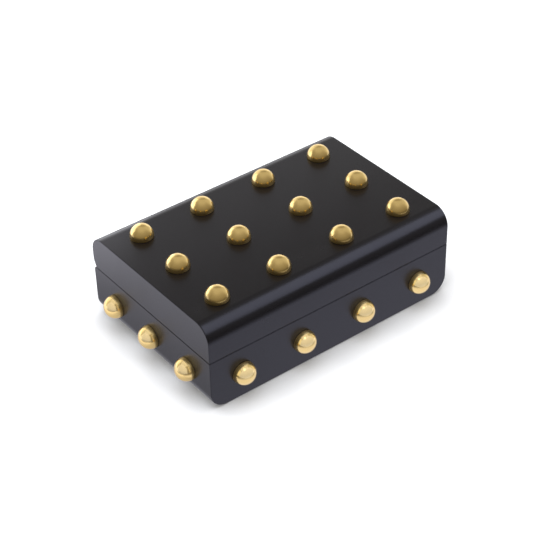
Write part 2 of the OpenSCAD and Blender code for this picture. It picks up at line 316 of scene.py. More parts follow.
def brass_material(name, colour, rough, foot_tarnish_and_shade, hinge=False):
    mat, nt, bsdf, co = shader(name)
    patch = noise(nt, co, 90.0, 4.0, 0.6, 0.8)
    col = ramp(nt, patch, [(0.25, tuple(0.93 * c for c in colour)), (0.75, colour)])
    # Near the foot (attribute foot = 1 where a stud meets the lacquer) the colour is mixed towards a darker one: part
    # tarnish, part painted shade in the crease under the dome.
    foot = nt.nodes.new("ShaderNodeAttribute")
    foot.attribute_name = "foot"
    low = foot.outputs["Fac"]
    shade = math_node(nt, "MULTIPLY", remap(nt, low, 0.93, 1.0, 0.0, 1.0),
                      remap(nt, noise(nt, co, 420.0, 3.0, 0.6), 0.3, 0.7, 0.72, 1.0))
    col = mix_colour(nt, shade, col, foot_tarnish_and_shade)
    nt.links.new(col, bsdf.inputs["Base Color"])
    bsdf.inputs["Metallic"].default_value = 1.0
    wear = noise(nt, co, 240.0, 5.0, 0.65, 0.6)
    r0 = remap(nt, wear, 0.3, 0.7, rough - 0.035, rough + 0.045)
    nt.links.new(math_node(nt, "ADD", r0, math_node(nt, "MULTIPLY", low, 0.34)), bsdf.inputs["Roughness"])
    if hinge:
        m = nt.nodes.new("ShaderNodeMapping")
        m.inputs["Scale"].default_value = (1.0, 26.0, 26.0)
        nt.links.new(co, m.inputs[0])
        line = noise(nt, m.outputs[0], 190.0, 3.0, 0.6)
        first = bump(nt, bsdf, line, 0.16, 0.00006)
    else:
        dent = noise(nt, co, 150.0, 2.0, 0.5)
        first = bump(nt, bsdf, dent, 0.05, 0.0004)
    bump(nt, bsdf, noise(nt, co, 1500.0, 2.0, 0.6), 0.03, 0.00005, first)
    return mat


def velvet_material():
    mat, nt, bsdf, co = shader("charcoal_velvet")
    brushed = noise(nt, co, 26.0, 3.0, 0.55, 1.6)
    pile = noise(nt, co, 3000.0, 2.0, 0.7)
    tone = math_node(nt, "ADD", math_node(nt, "MULTIPLY", brushed, 0.75), math_node(nt, "MULTIPLY", pile, 0.25))
    col = ramp(nt, tone, [(0.32, (0.0135, 0.0120, 0.0160)), (0.52, (0.0235, 0.0210, 0.0270)),
                          (0.70, (0.0400, 0.0360, 0.0450))])
    nt.links.new(col, bsdf.inputs["Base Color"])
    nt.links.new(remap(nt, pile, 0.3, 0.7, 0.86, 1.0), bsdf.inputs["Roughness"])
    bsdf.inputs["Specular IOR Level"].default_value = 0.15
    bsdf.inputs["Sheen Weight"].default_value = 0.55
    bsdf.inputs["Sheen Roughness"].default_value = 0.32
    bsdf.inputs["Sheen Tint"].default_value = (0.62, 0.58, 0.70, 1.0)
    first = bump(nt, bsdf, brushed, 0.30, 0.0008)
    bump(nt, bsdf, pile, 0.55, 0.00022, first)
    return mat


def felt_material():
    mat, nt, bsdf, co = shader("pressed_felt")
    cloud = noise(nt, co, 60.0, 4.0, 0.6, 0.6)
    fibre = noise(nt, co, 1500.0, 4.0, 0.75, 2.0)
    tone = math_node(nt, "ADD", math_node(nt, "MULTIPLY", cloud, 0.4), math_node(nt, "MULTIPLY", fibre, 0.6))
    col = ramp(nt, tone, [(0.35, (0.012, 0.012, 0.013)), (0.65, (0.034, 0.034, 0.037))])
    nt.links.new(col, bsdf.inputs["Base Color"])
    nt.links.new(remap(nt, fibre, 0.3, 0.7, 0.9, 1.0), bsdf.inputs["Roughness"])
    bsdf.inputs["Specular IOR Level"].default_value = 0.1
    bsdf.inputs["Sheen Weight"].default_value = 0.15
    bump(nt, bsdf, fibre, 0.8, 0.0003)
    return mat


LACQUER = lacquer_material()
# The last colour given to each brass is its darker foot colour: part tarnish, part painted shade where a stud meets
# the lacquer.
BRASS = brass_material("polished_brass", (0.82, 0.60, 0.238), 0.18, (0.46, 0.31, 0.11))
HINGE_BRASS = brass_material("satin_hinge_brass", (0.70, 0.52, 0.25), 0.27, (0.34, 0.23, 0.10), hinge=True)
VELVET = velvet_material()
FELT = felt_material()


# ---------------------------------------------------------------- shells
def hinge_pockets(name, lid):
    """What the two hinges cut out of a shell."""
    made = []
    for s in (-1, 1):
        x0 = s * HINGE_X
        bm = bmesh.new()
        if lid:
            block(bm, (x0 - HINGE_L / 2 - 0.1, HD - LEAF_REACH - 0.1, Z_LRIM - 1), (x0 + HINGE_L / 2 + 0.1, PIN_Y, Z_LRIM + LEAF_T))
        else:
            block(bm, (x0 - HINGE_L / 2 - 0.1, HD - LEAF_REACH - 0.1, Z_BRIM - LEAF_T), (x0 + HINGE_L / 2 + 0.1, PIN_Y, Z_BRIM + 1))
        made.append(cutter(f"{name}_leaf_{s}", bm))
        bm = bmesh.new()
        cylinder(bm, (x0, PIN_Y, PIN_Z), (1, 0, 0), BARREL_R + 0.3, -HINGE_L / 2 - 0.3, HINGE_L / 2 + 0.3, 40)
        made.append(cutter(f"{name}_barrel_{s}", bm))
        if lid:
            bm = bmesh.new()
            block(bm, (x0 - HINGE_L / 2 - 0.3, PIN_Y, Z_LRIM - 1), (x0 + HINGE_L / 2 + 0.3, HD + 1, PIN_Z + BARREL_R + 0.3))
            made.append(cutter(f"{name}_back_{s}", bm))
        bm = bmesh.new()
        for i in (-1, 1):
            if lid:
                cylinder(bm, (x0 + i * SCREW_X, SCREW_Y, Z_LRIM), (0, 0, 1), 0.8, 0.4, 6.3, 16)
            else:
                cylinder(bm, (x0 + i * SCREW_X, SCREW_Y, Z_BRIM), (0, 0, -1), 0.8, 0.4, 6.3, 16)
        made.append(cutter(f"{name}_pilots_{s}", bm))
    return made


def opening(z_in, z_rim, up):
    """The space inside a shell, its mouth rounded over into the rim."""
    bm = bmesh.new()
    lip, rings = 0.45, []
    steps = [(z_in, 0.0)]
    for i in range(5):
        t = math.radians(90 * i / 4)
        steps.append((z_rim - up * lip * (1 - math.sin(t)), lip * (1 - math.cos(t))))
    steps.append((z_rim + up * 1.0, lip))
    for z, grow in steps:
        a, b, r = IN_W / 2 + grow, IN_D / 2 + grow, 0.9 + grow
        ring = []
        for cx, cy, t0 in ((a - r, b - r, 0), (-a + r, b - r, 90), (-a + r, -b + r, 180), (a - r, -b + r, 270)):
            for k in range(5):
                t = math.radians(t0 + 22.5 * k)
                ring.append(bm.verts.new((cx + r * math.cos(t), cy + r * math.sin(t), z)))
        rings.append(ring)
    n = len(rings[0])
    bm.faces.new(rings[0])
    bm.faces.new(rings[-1])
    for p, q in zip(rings, rings[1:]):
        for k in range(n):
            m = (k + 1) % n
            bm.faces.new((p[k], p[m], q[m], q[k]))
    return cutter("opening", bm)


def nail_holes(places):
    bm = bmesh.new()
    for p, n in places:
        cylinder(bm, p, n, 1.25, -6.3, 1.0, 16)
    return cutter("nail_holes", bm)


LID_STUDS = [[((x + dx, y, Z_TOP), (0, 0, 1)) for x in LID_COLS] for y, dx in LID_ROWS]
FRONT_STUDS = [((x, -HD, STUD_Z), (0, -1, 0)) for x in SIDE_COLS]
BACK_STUDS = [((x, HD, STUD_Z), (0, 1, 0)) for x in SIDE_COLS]
LEFT_STUDS = [((-HW, y, STUD_Z), (-1, 0, 0)) for y in END_ROWS]
RIGHT_STUDS = [((HW, y, STUD_Z), (1, 0, 0)) for y in END_ROWS]


def base_shell():
    r = EDGE_R
    pts = arc(-HW + r, Z_UNDER + r, r, 180, 270, 26) + arc(HW - r, Z_UNDER + r, r, 270, 360, 26)
    pts += [(HW, Z_BRIM), (-HW, Z_BRIM)]
    bm = prism(pts, "y", -HD, HD)
    back_top = [e for e in bm.edges if all(abs(v.co.y - HD) < 1e-4 and abs(v.co.z - Z_BRIM) < 1e-4 for v in e.verts)]
    bmesh.ops.bevel(bm, geom=back_top, offset=2.0, offset_type="OFFSET", segments=9, profile=0.5, affect="EDGES")
    round_sharp(bm, ARRIS)
    obj = from_bmesh("lacquered_base", bm, LACQUER)
    cut(obj, opening(Z_FLOOR, Z_BRIM, 1), nail_holes(FRONT_STUDS + BACK_STUDS + LEFT_STUDS + RIGHT_STUDS),
        *hinge_pockets("base", False))
    obj = shaded_again(obj)
    return obj


def lid_shell():
    r = EDGE_R
    pts = arc(-HD + r, Z_TOP - r, r, 180, 90, 30) + arc(HD - r, Z_TOP - r, r, 90, 0, 30)
    end = -math.degrees(math.asin((Z_SEAM + 6.4 - Z_LRIM) / 9.5))
    pts += arc(HD - 9.5, Z_SEAM + 6.4, 9.5, 0, end, 14)
    pts += [(-HD, Z_LRIM)]
    bm = prism(pts, "x", -HW, HW)
    round_sharp(bm, ARRIS)
    obj = from_bmesh("lacquered_lid", bm, LACQUER)
    cut(obj, opening(Z_CEIL, Z_LRIM, -1), nail_holes(sum(LID_STUDS, [])), *hinge_pockets("lid", True))
    return shaded_again(obj)


def shaded_again(obj):
    me = obj.data
    bm = bmesh.new()
    bm.from_mesh(me)
    bmesh.ops.remove_doubles(bm, verts=bm.verts, dist=1e-7)
    bmesh.ops.dissolve_degenerate(bm, dist=1e-8, edges=bm.edges)
    bm.to_mesh(me)
    bm.free()
    me.polygons.foreach_set("use_smooth", [True] * len(me.polygons))
    me.set_sharp_from_angle(angle=math.radians(35))
    me.materials.clear()
    me.materials.append(LACQUER)
    return flat_weighted(obj)


base = base_shell()
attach(base, "base")
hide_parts("base_shell")

lid = lid_shell()
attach(lid, "lid")
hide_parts("lid_shell")


# ---------------------------------------------------------------- studs
def stud_profile():
    wide, c, high, tuck = 6.22, 0.9, 5.95, 4.4
    p = [(0.0, -6.0), (0.45, -5.5), (0.95, -4.7), (1.2, -4.2), (1.2, -0.02), (1.35, 0.0), (5.92, 0.0)]
    for z in (0.025, 0.08, 0.16, 0.28, 0.42, 0.58, 0.74):
        p.append((wide * math.sqrt(1.0 - ((c - z) / tuck) ** 2), z))
    for i in range(21):
        t = math.radians(90 * i / 21)
        p.append((wide * math.cos(t), c + high * math.sin(t)))
    p.append((0.0, c + high))
    return p


RNG = np.random.RandomState(11)


def studs(name, places, body, node):
    """A row of domed nails. Each was driven by hand, so each leans by up to a degree."""
    profile = stud_profile()
    v0, f0 = lathe(profile, 56)
    v0 = np.array(v0)
    verts, faces, foot = [], [], []
    for p, n in places:
        n = Vector(n)
        q = Vector((0, 0, 1)).rotation_difference(n)
        lean = RNG.uniform(-1, 1, 2)
        spin = RNG.uniform(0, 360)
        m = (Matrix.Translation(p) @ q.to_matrix().to_4x4()
             @ Matrix.Rotation(math.radians(0.75 * lean[0]), 4, "X")
             @ Matrix.Rotation(math.radians(0.75 * lean[1]), 4, "Y")
             @ Matrix.Rotation(math.radians(spin), 4, "Z"))
        a = np.array(m)
        base_i = len(verts)
        verts += [tuple(x) for x in v0 @ a[:3, :3].T + a[:3, 3]]
        faces += [tuple(i + base_i for i in f) for f in f0]
        z = v0[:, 2]
        foot += list(np.clip(1.0 - (z - 0.15) / 2.3, 0.0, 1.0))
    obj = from_lists(name, verts, faces, BRASS, 50.0)
    at = obj.data.attributes.new("foot", "FLOAT", "POINT")
    at.data.foreach_set("value", np.array(foot, np.float32))
    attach(obj, body)
    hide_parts(node)
    return obj


lid_sets = [studs(f"lid_{row}_row_studs", places, "lid", f"lid_studs_{row}_row")
            for row, places in zip(("back", "middle", "front"), LID_STUDS)]
front_set = studs("front_face_studs", FRONT_STUDS, "base", "front_studs")
back_set = studs("back_face_studs", BACK_STUDS, "base", "back_studs")
left_set = studs("left_face_studs", LEFT_STUDS, "base", "left_end_studs")
right_set = studs("right_face_studs", RIGHT_STUDS, "base", "right_end_studs")


# ---------------------------------------------------------------- hinges
def tag_foot(obj, value=0.0):
    at = obj.data.attributes.new("foot", "FLOAT", "POINT")
    at.data.foreach_set("value", np.full(len(obj.data.vertices), value, np.float32))


def joined(name, parts):
    """Unites closed parts into one mesh."""
    first = parts[0]
    for c in parts[1:]:
        m = first.modifiers.new("u", "BOOLEAN")
        m.operation, m.solver, m.object = "UNION", "EXACT", c
    applied(first)
    for c in parts[1:]:
        me = c.data
        bpy.data.objects.remove(c)
        bpy.data.meshes.remove(me)
    first.name = name
    return first


def knuckle(x0, x1):
    """A knuckle along X, its end edges softened."""
    prof = [(BARREL_R - 0.22, x0), (BARREL_R - 0.07, x0 + 0.06), (BARREL_R, x0 + 0.24),
            (BARREL_R, x1 - 0.24), (BARREL_R - 0.07, x1 - 0.06), (BARREL_R - 0.22, x1)]
    bm = bmesh.new()
    n, rings = 48, []
    for r, x in prof:
        ring = []
        for k in range(n):
            t = 2 * math.pi * k / n
            ring.append(bm.verts.new((x, PIN_Y + r * math.cos(t), PIN_Z + r * math.sin(t))))
        rings.append(ring)
    bm.faces.new(rings[0])
    bm.faces.new(rings[-1][::-1])
    for p, q in zip(rings, rings[1:]):
        for k in range(n):
            m = (k + 1) % n
            bm.faces.new((p[k], q[k], q[m], p[m]))
    return cutter("knuckle", bm)


def leaf(name, s, lid):
    x0 = s * HINGE_X
    bm = bmesh.new()
    y0 = HD - LEAF_REACH
    if lid:
        z0, z1, y1 = Z_LRIM, Z_LRIM + LEAF_T, HD - 3.0
    else:
        z0, z1, y1 = Z_BRIM - LEAF_T, Z_BRIM, PIN_Y
    block(bm, (x0 - HINGE_L / 2, y0, z0), (x0 + HINGE_L / 2, y1, z1))
    bmesh.ops.recalc_face_normals(bm, faces=bm.faces)
    corners = [e for e in bm.edges if all(abs(v.co.y - y0) < 1e-4 for v in e.verts)
               and abs(e.verts[0].co.x - e.verts[1].co.x) < 1e-4]
    bmesh.ops.bevel(bm, geom=corners, offset=1.1, offset_type="OFFSET", segments=6, profile=0.5, affect="EDGES")
    round_sharp(bm, 0.12, 2)
    plate = cutter("plate", bm)
    step = KNUCKLE_L + GAP_K
    centres = [0.0] if lid else [-step, step]
    parts = [plate] + [knuckle(x0 + c - KNUCKLE_L / 2, x0 + c + KNUCKLE_L / 2) for c in centres]
    obj = joined(name, parts)
    cuts = []
    gaps = [-step, step] if lid else [0.0]
    for g in gaps:
        bm = bmesh.new()
        extra = 0.3 + (GAP_K if lid else 0.0)
        lo_x = x0 + g - KNUCKLE_L / 2 - 0.3
        hi_x = x0 + g + KNUCKLE_L / 2 + 0.3
        if lid and g < 0:
            lo_x -= 1.0
        if lid and g > 0:
            hi_x += 1.0
        cylinder(bm, (0, PIN_Y, PIN_Z), (1, 0, 0), BARREL_R + 0.25, lo_x, hi_x, 48)
        cuts.append(cutter("room", bm))
    bm = bmesh.new()
    cylinder(bm, (x0, PIN_Y, PIN_Z), (1, 0, 0), PIN_R + (0.05 if lid else 0.0), -HINGE_L / 2 - 1, HINGE_L / 2 + 1, 28)
    cuts.append(cutter("bore", bm))
    for i in (-1, 1):
        x = x0 + i * SCREW_X
        up = -1 if lid else 1
        z = Z_LRIM if lid else Z_BRIM
        prof = [(0.80, -2.0), (0.80, -0.60), (1.45, 0.0), (1.55, 0.08), (1.55, 0.5)]
        v, f = lathe([(0.0, -2.0)] + prof + [(0.0, 0.5)], 24)
        bm = bmesh.new()
        vs = [bm.verts.new((x + a, SCREW_Y + b, z + up * c)) for a, b, c in v]
        for q in f:
            bm.faces.new([vs[k] for k in q])
        cuts.append(cutter("countersink", bm))
    cut(obj, *cuts)
    me = obj.data
    me.polygons.foreach_set("use_smooth", [True] * len(me.polygons))
    me.set_sharp_from_angle(angle=math.radians(40))
    me.materials.clear()
    me.materials.append(HINGE_BRASS)
    flat_weighted(obj)
    tag_foot(obj)
    return obj


def pin(name, s):
    """A hinge pin with softly domed ends."""
    x0, h = s * HINGE_X, HINGE_L / 2
    prof = [(0.0, -h), (0.35, -h + 0.03), (0.62, -h + 0.12), (0.76, -h + 0.28), (PIN_R, -h + 0.45)]
    prof += [(r, -z) for r, z in prof[::-1]]
    v, f = lathe(prof, 28)
    obj = from_lists(name, [(x0 + z, PIN_Y + x, PIN_Z + y) for x, y, z in v], f, HINGE_BRASS, 40)
    tag_foot(obj, 0.25)
    return obj


def screws(name, lid):
    """Countersunk slotted screws, each with its slot at its own angle."""
    angles = [17, 64, 118, 151] if lid else [39, 102, 8, 133]
    parts, k = [], 0
    for s in (-1, 1):
        for i in (-1, 1):
            x = s * HINGE_X + i * SCREW_X
            prof = [(0.0, -6.0), (0.3, -5.4), (0.62, -4.6), (0.75, -4.2), (0.75, -0.62), (1.34, -0.07), (1.40, -0.03),
                    (1.37, -0.0), (1.0, -0.0), (0.5, -0.0), (0.0, 0.0)]
            v, f = lathe(prof, 32)
            bm = bmesh.new()
            vs = [bm.verts.new(c) for c in v]
            for q in f:
                bm.faces.new([vs[n] for n in q])
            body = cutter("screw", bm)
            bm = bmesh.new()
            block(bm, (-2.0, -0.19, -0.34), (2.0, 0.19, 0.5))
            slot = cutter("slot", bm)
            cut(body, slot)
            up = -1 if lid else 1
            m = Matrix.Translation(Vector((x, SCREW_Y, Z_LRIM if lid else Z_BRIM)) * MM)
            if lid:
                m = m @ Matrix.Rotation(math.pi, 4, "X")
            m = m @ Matrix.Rotation(math.radians(angles[k]), 4, "Z")
            body.data.transform(m)
            parts.append(body)
            k += 1
    bm = bmesh.new()
    for p in parts:
        bm.from_mesh(p.data)
    for p in parts:
        me = p.data
        bpy.data.objects.remove(p)
        bpy.data.meshes.remove(me)
    me = bpy.data.meshes.new(name)
    bm.to_mesh(me)
    bm.free()
    obj = finish_mesh(name, me, HINGE_BRASS, 35)
    flat_weighted(obj)
    tag_foot(obj)
    return obj


for side, s in (("left", -1), ("right", 1)):
    o = leaf(f"{side}_hinge_base_leaf", s, False)
    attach(o, "base")
    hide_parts(f"hinge_{side}_base_leaf")
    o = leaf(f"{side}_hinge_lid_leaf", s, True)
    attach(o, "lid")
    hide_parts(f"hinge_{side}_lid_leaf")
    o = pin(f"{side}_hinge_pin", s)
    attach(o, "base")
    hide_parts(f"hinge_{side}_pin")
for body, is_lid in (("base", False), ("lid", True)):
    o = screws(f"{body}_hinge_screws", is_lid)
    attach(o, body)
    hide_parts(f"hinge_{body}_screws")


# ---------------------------------------------------------------- linings
def wave(x, y, seed):
    """A smooth made-up unevenness between about -1 and 1."""
    r = np.random.RandomState(seed)
    out = 0.0
    for k in range(5):
        fx, fy, ph, am = r.uniform(0.02, 0.14), r.uniform(0.02, 0.14), r.uniform(0, 6.28), 0.5 ** (k * 0.5)
        out = out + am * np.sin(fx * x * 6.28 * 0.5 + fy * y * 6.28 * 0.5 + ph)
    return out / 2.6


def card(name, length, height, seed):
    """A card wrapped in velvet, standing on z = 0 along X: soft edges, a slightly full face."""
    n_l, n_h = max(24, int(length / 2.0)), 12
    loop = []                                        # cross-section as (thickness, height) pairs
    t = CARD_T / 2
    for i in range(n_h + 1):
        z = 0.5 + (height - t - 0.5) * i / n_h
        loop.append((t * (0.90 + 0.10 * math.sin(math.pi * i / n_h)), z))
    for i in range(1, 10):
        a = math.radians(180 * i / 10)
        loop.append((t * 0.90 * math.cos(a), height - t + t * math.sin(a)))
    for i in range(n_h + 1):
        z = height - t - (height - t - 0.5) * i / n_h
        loop.append((-t * (0.90 + 0.10 * math.sin(math.pi * i / n_h)), z))
    loop += [(-t * 0.8, 0.12), (-t * 0.4, 0.0), (t * 0.4, 0.0), (t * 0.8, 0.12)]
    verts, faces = [], []
    stations = [-length / 2 + 0.05, -length / 2 + 0.2, -length / 2 + 0.7]
    stations += list(np.linspace(-length / 2 + 1.6, length / 2 - 1.6, n_l))
    stations += [length / 2 - 0.7, length / 2 - 0.2, length / 2 - 0.05]
    m = len(loop)
    for i, x in enumerate(stations):
        d = length / 2 - abs(x)
        inset = 0.55 + 0.45 * min(1.0, (d / 0.9)) ** 0.5
        for tt, z in loop:
            w = 0.035 * float(wave(x * 1.3, z * 2.0, seed)) * min(1.0, d / 4)
            verts.append((x, tt * inset + (w if tt > 0 else -w) * 0.6 * (1 if abs(tt) > 0.2 else 0),
                          z - (1 - inset) * 0.5 * (z / height) + 0.5 * w * (z / height)))
    for i in range(len(stations) - 1):
        for k in range(m):
            q = (k + 1) % m
            faces.append((i * m + k, (i + 1) * m + k, (i + 1) * m + q, i * m + q))
    faces.append(tuple(range(m)))
    faces.append(tuple(range((len(stations) - 1) * m, len(stations) * m))[::-1])
    return verts, faces


def lining(name, length, height, seed, turn, place, flip, body, node):
    v, f = card(name, length, height, seed)
    a = math.radians(turn)
    out = []
    for x, y, z in v:
        if flip:
            y, z = -y, -z
        out.append((x * math.cos(a) - y * math.sin(a) + place[0],
                    x * math.sin(a) + y * math.cos(a) + place[1], z + place[2]))
    obj = from_lists(name, out, f, VELVET, 50)
    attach(obj, body)
    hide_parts(node)
    return obj


OFF_X, OFF_Y = IN_W / 2 - CARD_T / 2, IN_D / 2 - CARD_T / 2
LONG, SHORT = IN_W - 0.2, IN_D - 2 * CARD_T - 0.2
for pre, z, h, flip, body in (("tray", Z_FLOOR, Z_BRIM - 1.2 - Z_FLOOR, False, "base"),
                              ("lid", Z_CEIL, Z_CEIL - Z_LRIM - 1.2, True, "lid")):
    for k, (side, length, turn, x, y) in enumerate((("front", LONG, 0, 0, -OFF_Y), ("back", LONG, 180, 0, OFF_Y),
                                                    ("left", SHORT, 90, -OFF_X, 0), ("right", SHORT, 270, OFF_X, 0))):
        lining(f"{pre}_{side}_card", length, h, 20 + k + (7 if flip else 0), turn, (x, y, z), flip,
               body, f"{pre}_lining_{side}")


def pad(name, wide, deep, thick, z_flat, up, seed, body, node):
    """A thin foam pad under stretched velvet: crowned, its edge turned under with small puckers."""
    nx, ny = 96, 62
    a, b, r = wide / 2, deep / 2, 1.6

    def outline(t):
        """Returns its parameter unchanged."""
        return t

    us = np.linspace(-1, 1, nx + 1)
    vs = np.linspace(-1, 1, ny + 1)
    us = np.sign(us) * (1 - (1 - np.abs(us)) ** 1.25)
    vs = np.sign(vs) * (1 - (1 - np.abs(vs)) ** 1.25)
    X, Y = np.meshgrid(us * a, vs * b, indexing="ij")
    # draws the corners in a little
    cx = np.clip(np.abs(X) - (a - r), 0, None)
    cy = np.clip(np.abs(Y) - (b - r), 0, None)
    both = (cx > 0) & (cy > 0)
    m = np.maximum(cx, cy)
    l2 = np.hypot(cx, cy)
    k = np.where(both, m / np.maximum(l2, 1e-9), 1.0)
    X = np.where(both, np.sign(X) * ((a - r) + cx * k), X)
    Y = np.where(both, np.sign(Y) * ((b - r) + cy * k), Y)
    dx = a - np.abs(X)
    dy = b - np.abs(Y)
    d = np.where(both, r - np.minimum(np.hypot(np.abs(X) - (a - r), np.abs(Y) - (b - r)), r), np.minimum(dx, dy))
    d = np.clip(d, 0, None)
    # rounded shoulder, then a long low crown
    shoulder = 1.35
    s = np.clip(d / shoulder, 0, 1)
    edge = np.sqrt(np.clip(1 - (1 - s) ** 2, 0, 1))
    crown = (1 - (X / a) ** 4) * (1 - (Y / b) ** 4)
    rim_h = thick - 0.95
    z = rim_h * (0.38 + 0.62 * edge) + (thick - rim_h - 0.12) * crown ** 0.9
    # puckers where the cloth is drawn over the edge
    along = np.where(dx < dy, Y, X)
    rr = np.random.RandomState(seed)
    puck = 0
    for q in range(6):
        puck = puck + rr.uniform(0.4, 1.0) * np.sin(along * rr.uniform(0.55, 1.5) + rr.uniform(0, 6.28))
    z = z + 0.045 * puck * np.exp(-((d - 1.7) / 1.6) ** 2) * np.clip(d / 0.6, 0, 1)
    z = z + 0.06 * wave(X, Y, seed + 3) * np.clip(d / 6, 0, 1)
    z = np.clip(z, 0.1, thick - 0.01)
    top = np.stack([X, Y, z], -1).reshape(-1, 3)
    n1 = ny + 1
    verts = [tuple(p) for p in top]
    faces = []
    for i in range(nx):
        for j in range(ny):
            faces.append((i * n1 + j, (i + 1) * n1 + j, (i + 1) * n1 + j + 1, i * n1 + j + 1))
    ring = [i * n1 for i in range(nx + 1)] + [nx * n1 + j for j in range(1, ny + 1)]
    ring += [i * n1 + ny for i in range(nx - 1, -1, -1)] + [j for j in range(ny - 1, 0, -1)]
    prev = ring
    for inset, zz in ((0.0, 0.35), (0.12, 0.10), (0.45, 0.0)):
        cur = []
        for idx in ring:
            x, y, _ = verts[idx]
            cur.append(len(verts))
            verts.append((x * (1 - inset / a), y * (1 - inset / b), zz))
        for p in range(len(ring)):
            q = (p + 1) % len(ring)
            faces.append((prev[p], prev[q], cur[q], cur[p]))
        prev = cur
    faces.append(tuple(prev))
    verts = [(x, y if up > 0 else -y, z_flat + up * zz) for x, y, zz in verts]
    obj = from_lists(name, verts, faces, VELVET, 60)
    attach(obj, body)
    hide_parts(node)
    return obj


PAD_W, PAD_D = IN_W - 2 * CARD_T - 0.2, IN_D - 2 * CARD_T - 0.2
pad("tray_velvet_pad", PAD_W, PAD_D, 2.8, Z_FLOOR, 1, 5, "base", "tray_floor_pad")
pad("lid_velvet_pad", PAD_W, PAD_D, 2.4, Z_CEIL, -1, 9, "lid", "lid_top_pad")


# ---------------------------------------------------------------- felt
def felt_pad():
    a, b, r, t = (152.4 - 19 - 5) / 2, (100.7 - 7) / 2, 3.0, 0.5
    rings = []
    bm = bmesh.new()
    for grow, z in ((-0.10, 0.0), (-0.02, 0.06), (0.0, 0.2), (0.0, t)):
        ring, q = [], 0
        for cx, cy, t0 in ((a - r, b - r, 0), (-a + r, b - r, 90), (-a + r, -b + r, 180), (a - r, -b + r, 270)):
            for k in range(9):
                th = math.radians(t0 + 11.25 * k)
                ring.append(bm.verts.new((cx + (r + grow) * math.cos(th), cy + (r + grow) * math.sin(th), z)))
        rings.append(ring)
    n = len(rings[0])
    bm.faces.new(rings[0])
    bm.faces.new(rings[-1])
    for p, q in zip(rings, rings[1:]):
        for k in range(n):
            m = (k + 1) % n
            bm.faces.new((p[k], p[m], q[m], q[k]))
    return from_bmesh("felt_underside", bm, FELT, 40)


o = felt_pad()
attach(o, "base")
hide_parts("base_felt_pad")


# ---------------------------------------------------------------- stage
def floor_material():
    """A white sweep that glows faintly, with a painted contact shadow: its colour and glow are a little darker close
    under the box.
    """
    mat, nt, bsdf, co = shader("white_sweep")
    ao = nt.nodes.new("ShaderNodeAmbientOcclusion")
    ao.samples = 12
    ao.inputs["Distance"].default_value = 0.026
    # painted contact shadow: an ambient-occlusion ramp darkens the floor's colour and glow near the box
    painted_contact_shadow = ramp(nt, ao.outputs["AO"], [(0.42, 0.63), (0.60, 0.745), (0.76, 0.84), (0.88, 0.93), (0.97, 1.0)])
    col = mix_colour(nt, 1.0, painted_contact_shadow, (0.79, 0.80, 0.82), "MULTIPLY")
    nt.links.new(col, bsdf.inputs["Base Color"])
    bsdf.inputs["Roughness"].default_value = 0.8
    bsdf.inputs["Specular IOR Level"].default_value = 0.1
    nt.links.new(painted_contact_shadow, bsdf.inputs["Emission Color"])
    bsdf.inputs["Emission Strength"].default_value = 0.25
    return mat


bm = bmesh.new()
bmesh.ops.create_grid(bm, x_segments=1, y_segments=1, size=6000)
floor = from_bmesh("floor", bm, floor_material())
floor.visible_glossy = False          # polished parts mirror the studio around it instead


def painted_end_reflection(side, level):
    """A glowing sheet that shows in reflections only: a painted reflection of the table beside an end, with painted
    contact shadow darker close to the box, painted shade under the end and painted light brighter towards the back.
    """
    mat, nt, bsdf, co = shader("painted_table_reflection_left" if side < 0 else "painted_table_reflection_right")
    sep = nt.nodes.new("ShaderNodeSeparateXYZ")
    nt.links.new(co, sep.inputs[0])
    away = remap(nt, sep.outputs[0], side * HW * MM, side * (HW + 50) * MM, 0.0, 1.0)
    # painted contact shadow in the reflection: darker close to the end of the box
    painted_contact_shadow = ramp(nt, away, [(0.0, 0.46), (0.08, 0.50), (0.24, 0.57), (0.40, 0.68), (0.52, 0.80), (0.64, 0.90), (0.80, 1.0)])
    # painted shade under the rounded bottom edge of the end
    under = remap(nt, sep.outputs[0], side * (HW - 5) * MM, side * (HW - 1) * MM, 0.25, 1.0)
    # painted light: the mirrored table grows brighter towards the back
    back = ramp(nt, remap(nt, sep.outputs[1], -0.05, 0.11, 0.0, 1.0),
                [(0.31, 0.83), (0.50, 0.89), (0.656, 0.93), (0.75, 1.02), (0.844, 1.18), (0.94, 1.36), (1.0, 1.45)])
    col = mix_colour(nt, 1.0, painted_contact_shadow, back, "MULTIPLY")
    col = mix_colour(nt, 1.0, col, under, "MULTIPLY")
    col = mix_colour(nt, 1.0, col, (1.0, 0.99, 1.10), "MULTIPLY")
    bsdf.inputs["Base Color"].default_value = (0, 0, 0, 1)
    bsdf.inputs["Specular IOR Level"].default_value = 0.0
    nt.links.new(col, bsdf.inputs["Emission Color"])
    bsdf.inputs["Emission Strength"].default_value = level
    bm = bmesh.new()
    vs = [bm.verts.new((side * (HW + dx), y, 0.05)) for dx, y in ((50, -HD), (-9.5, -HD), (-9.5, HD + 60), (50, HD + 60))]
    bm.faces.new(vs)
    o = from_bmesh("left_painted_reflection" if side < 0 else "right_painted_reflection", bm, mat)
    o.visible_camera = o.visible_diffuse = o.visible_transmission = False
    o.visible_shadow = o.visible_volume_scatter = False


painted_end_reflection(-1, 1.62)
painted_end_reflection(1, 1.10)


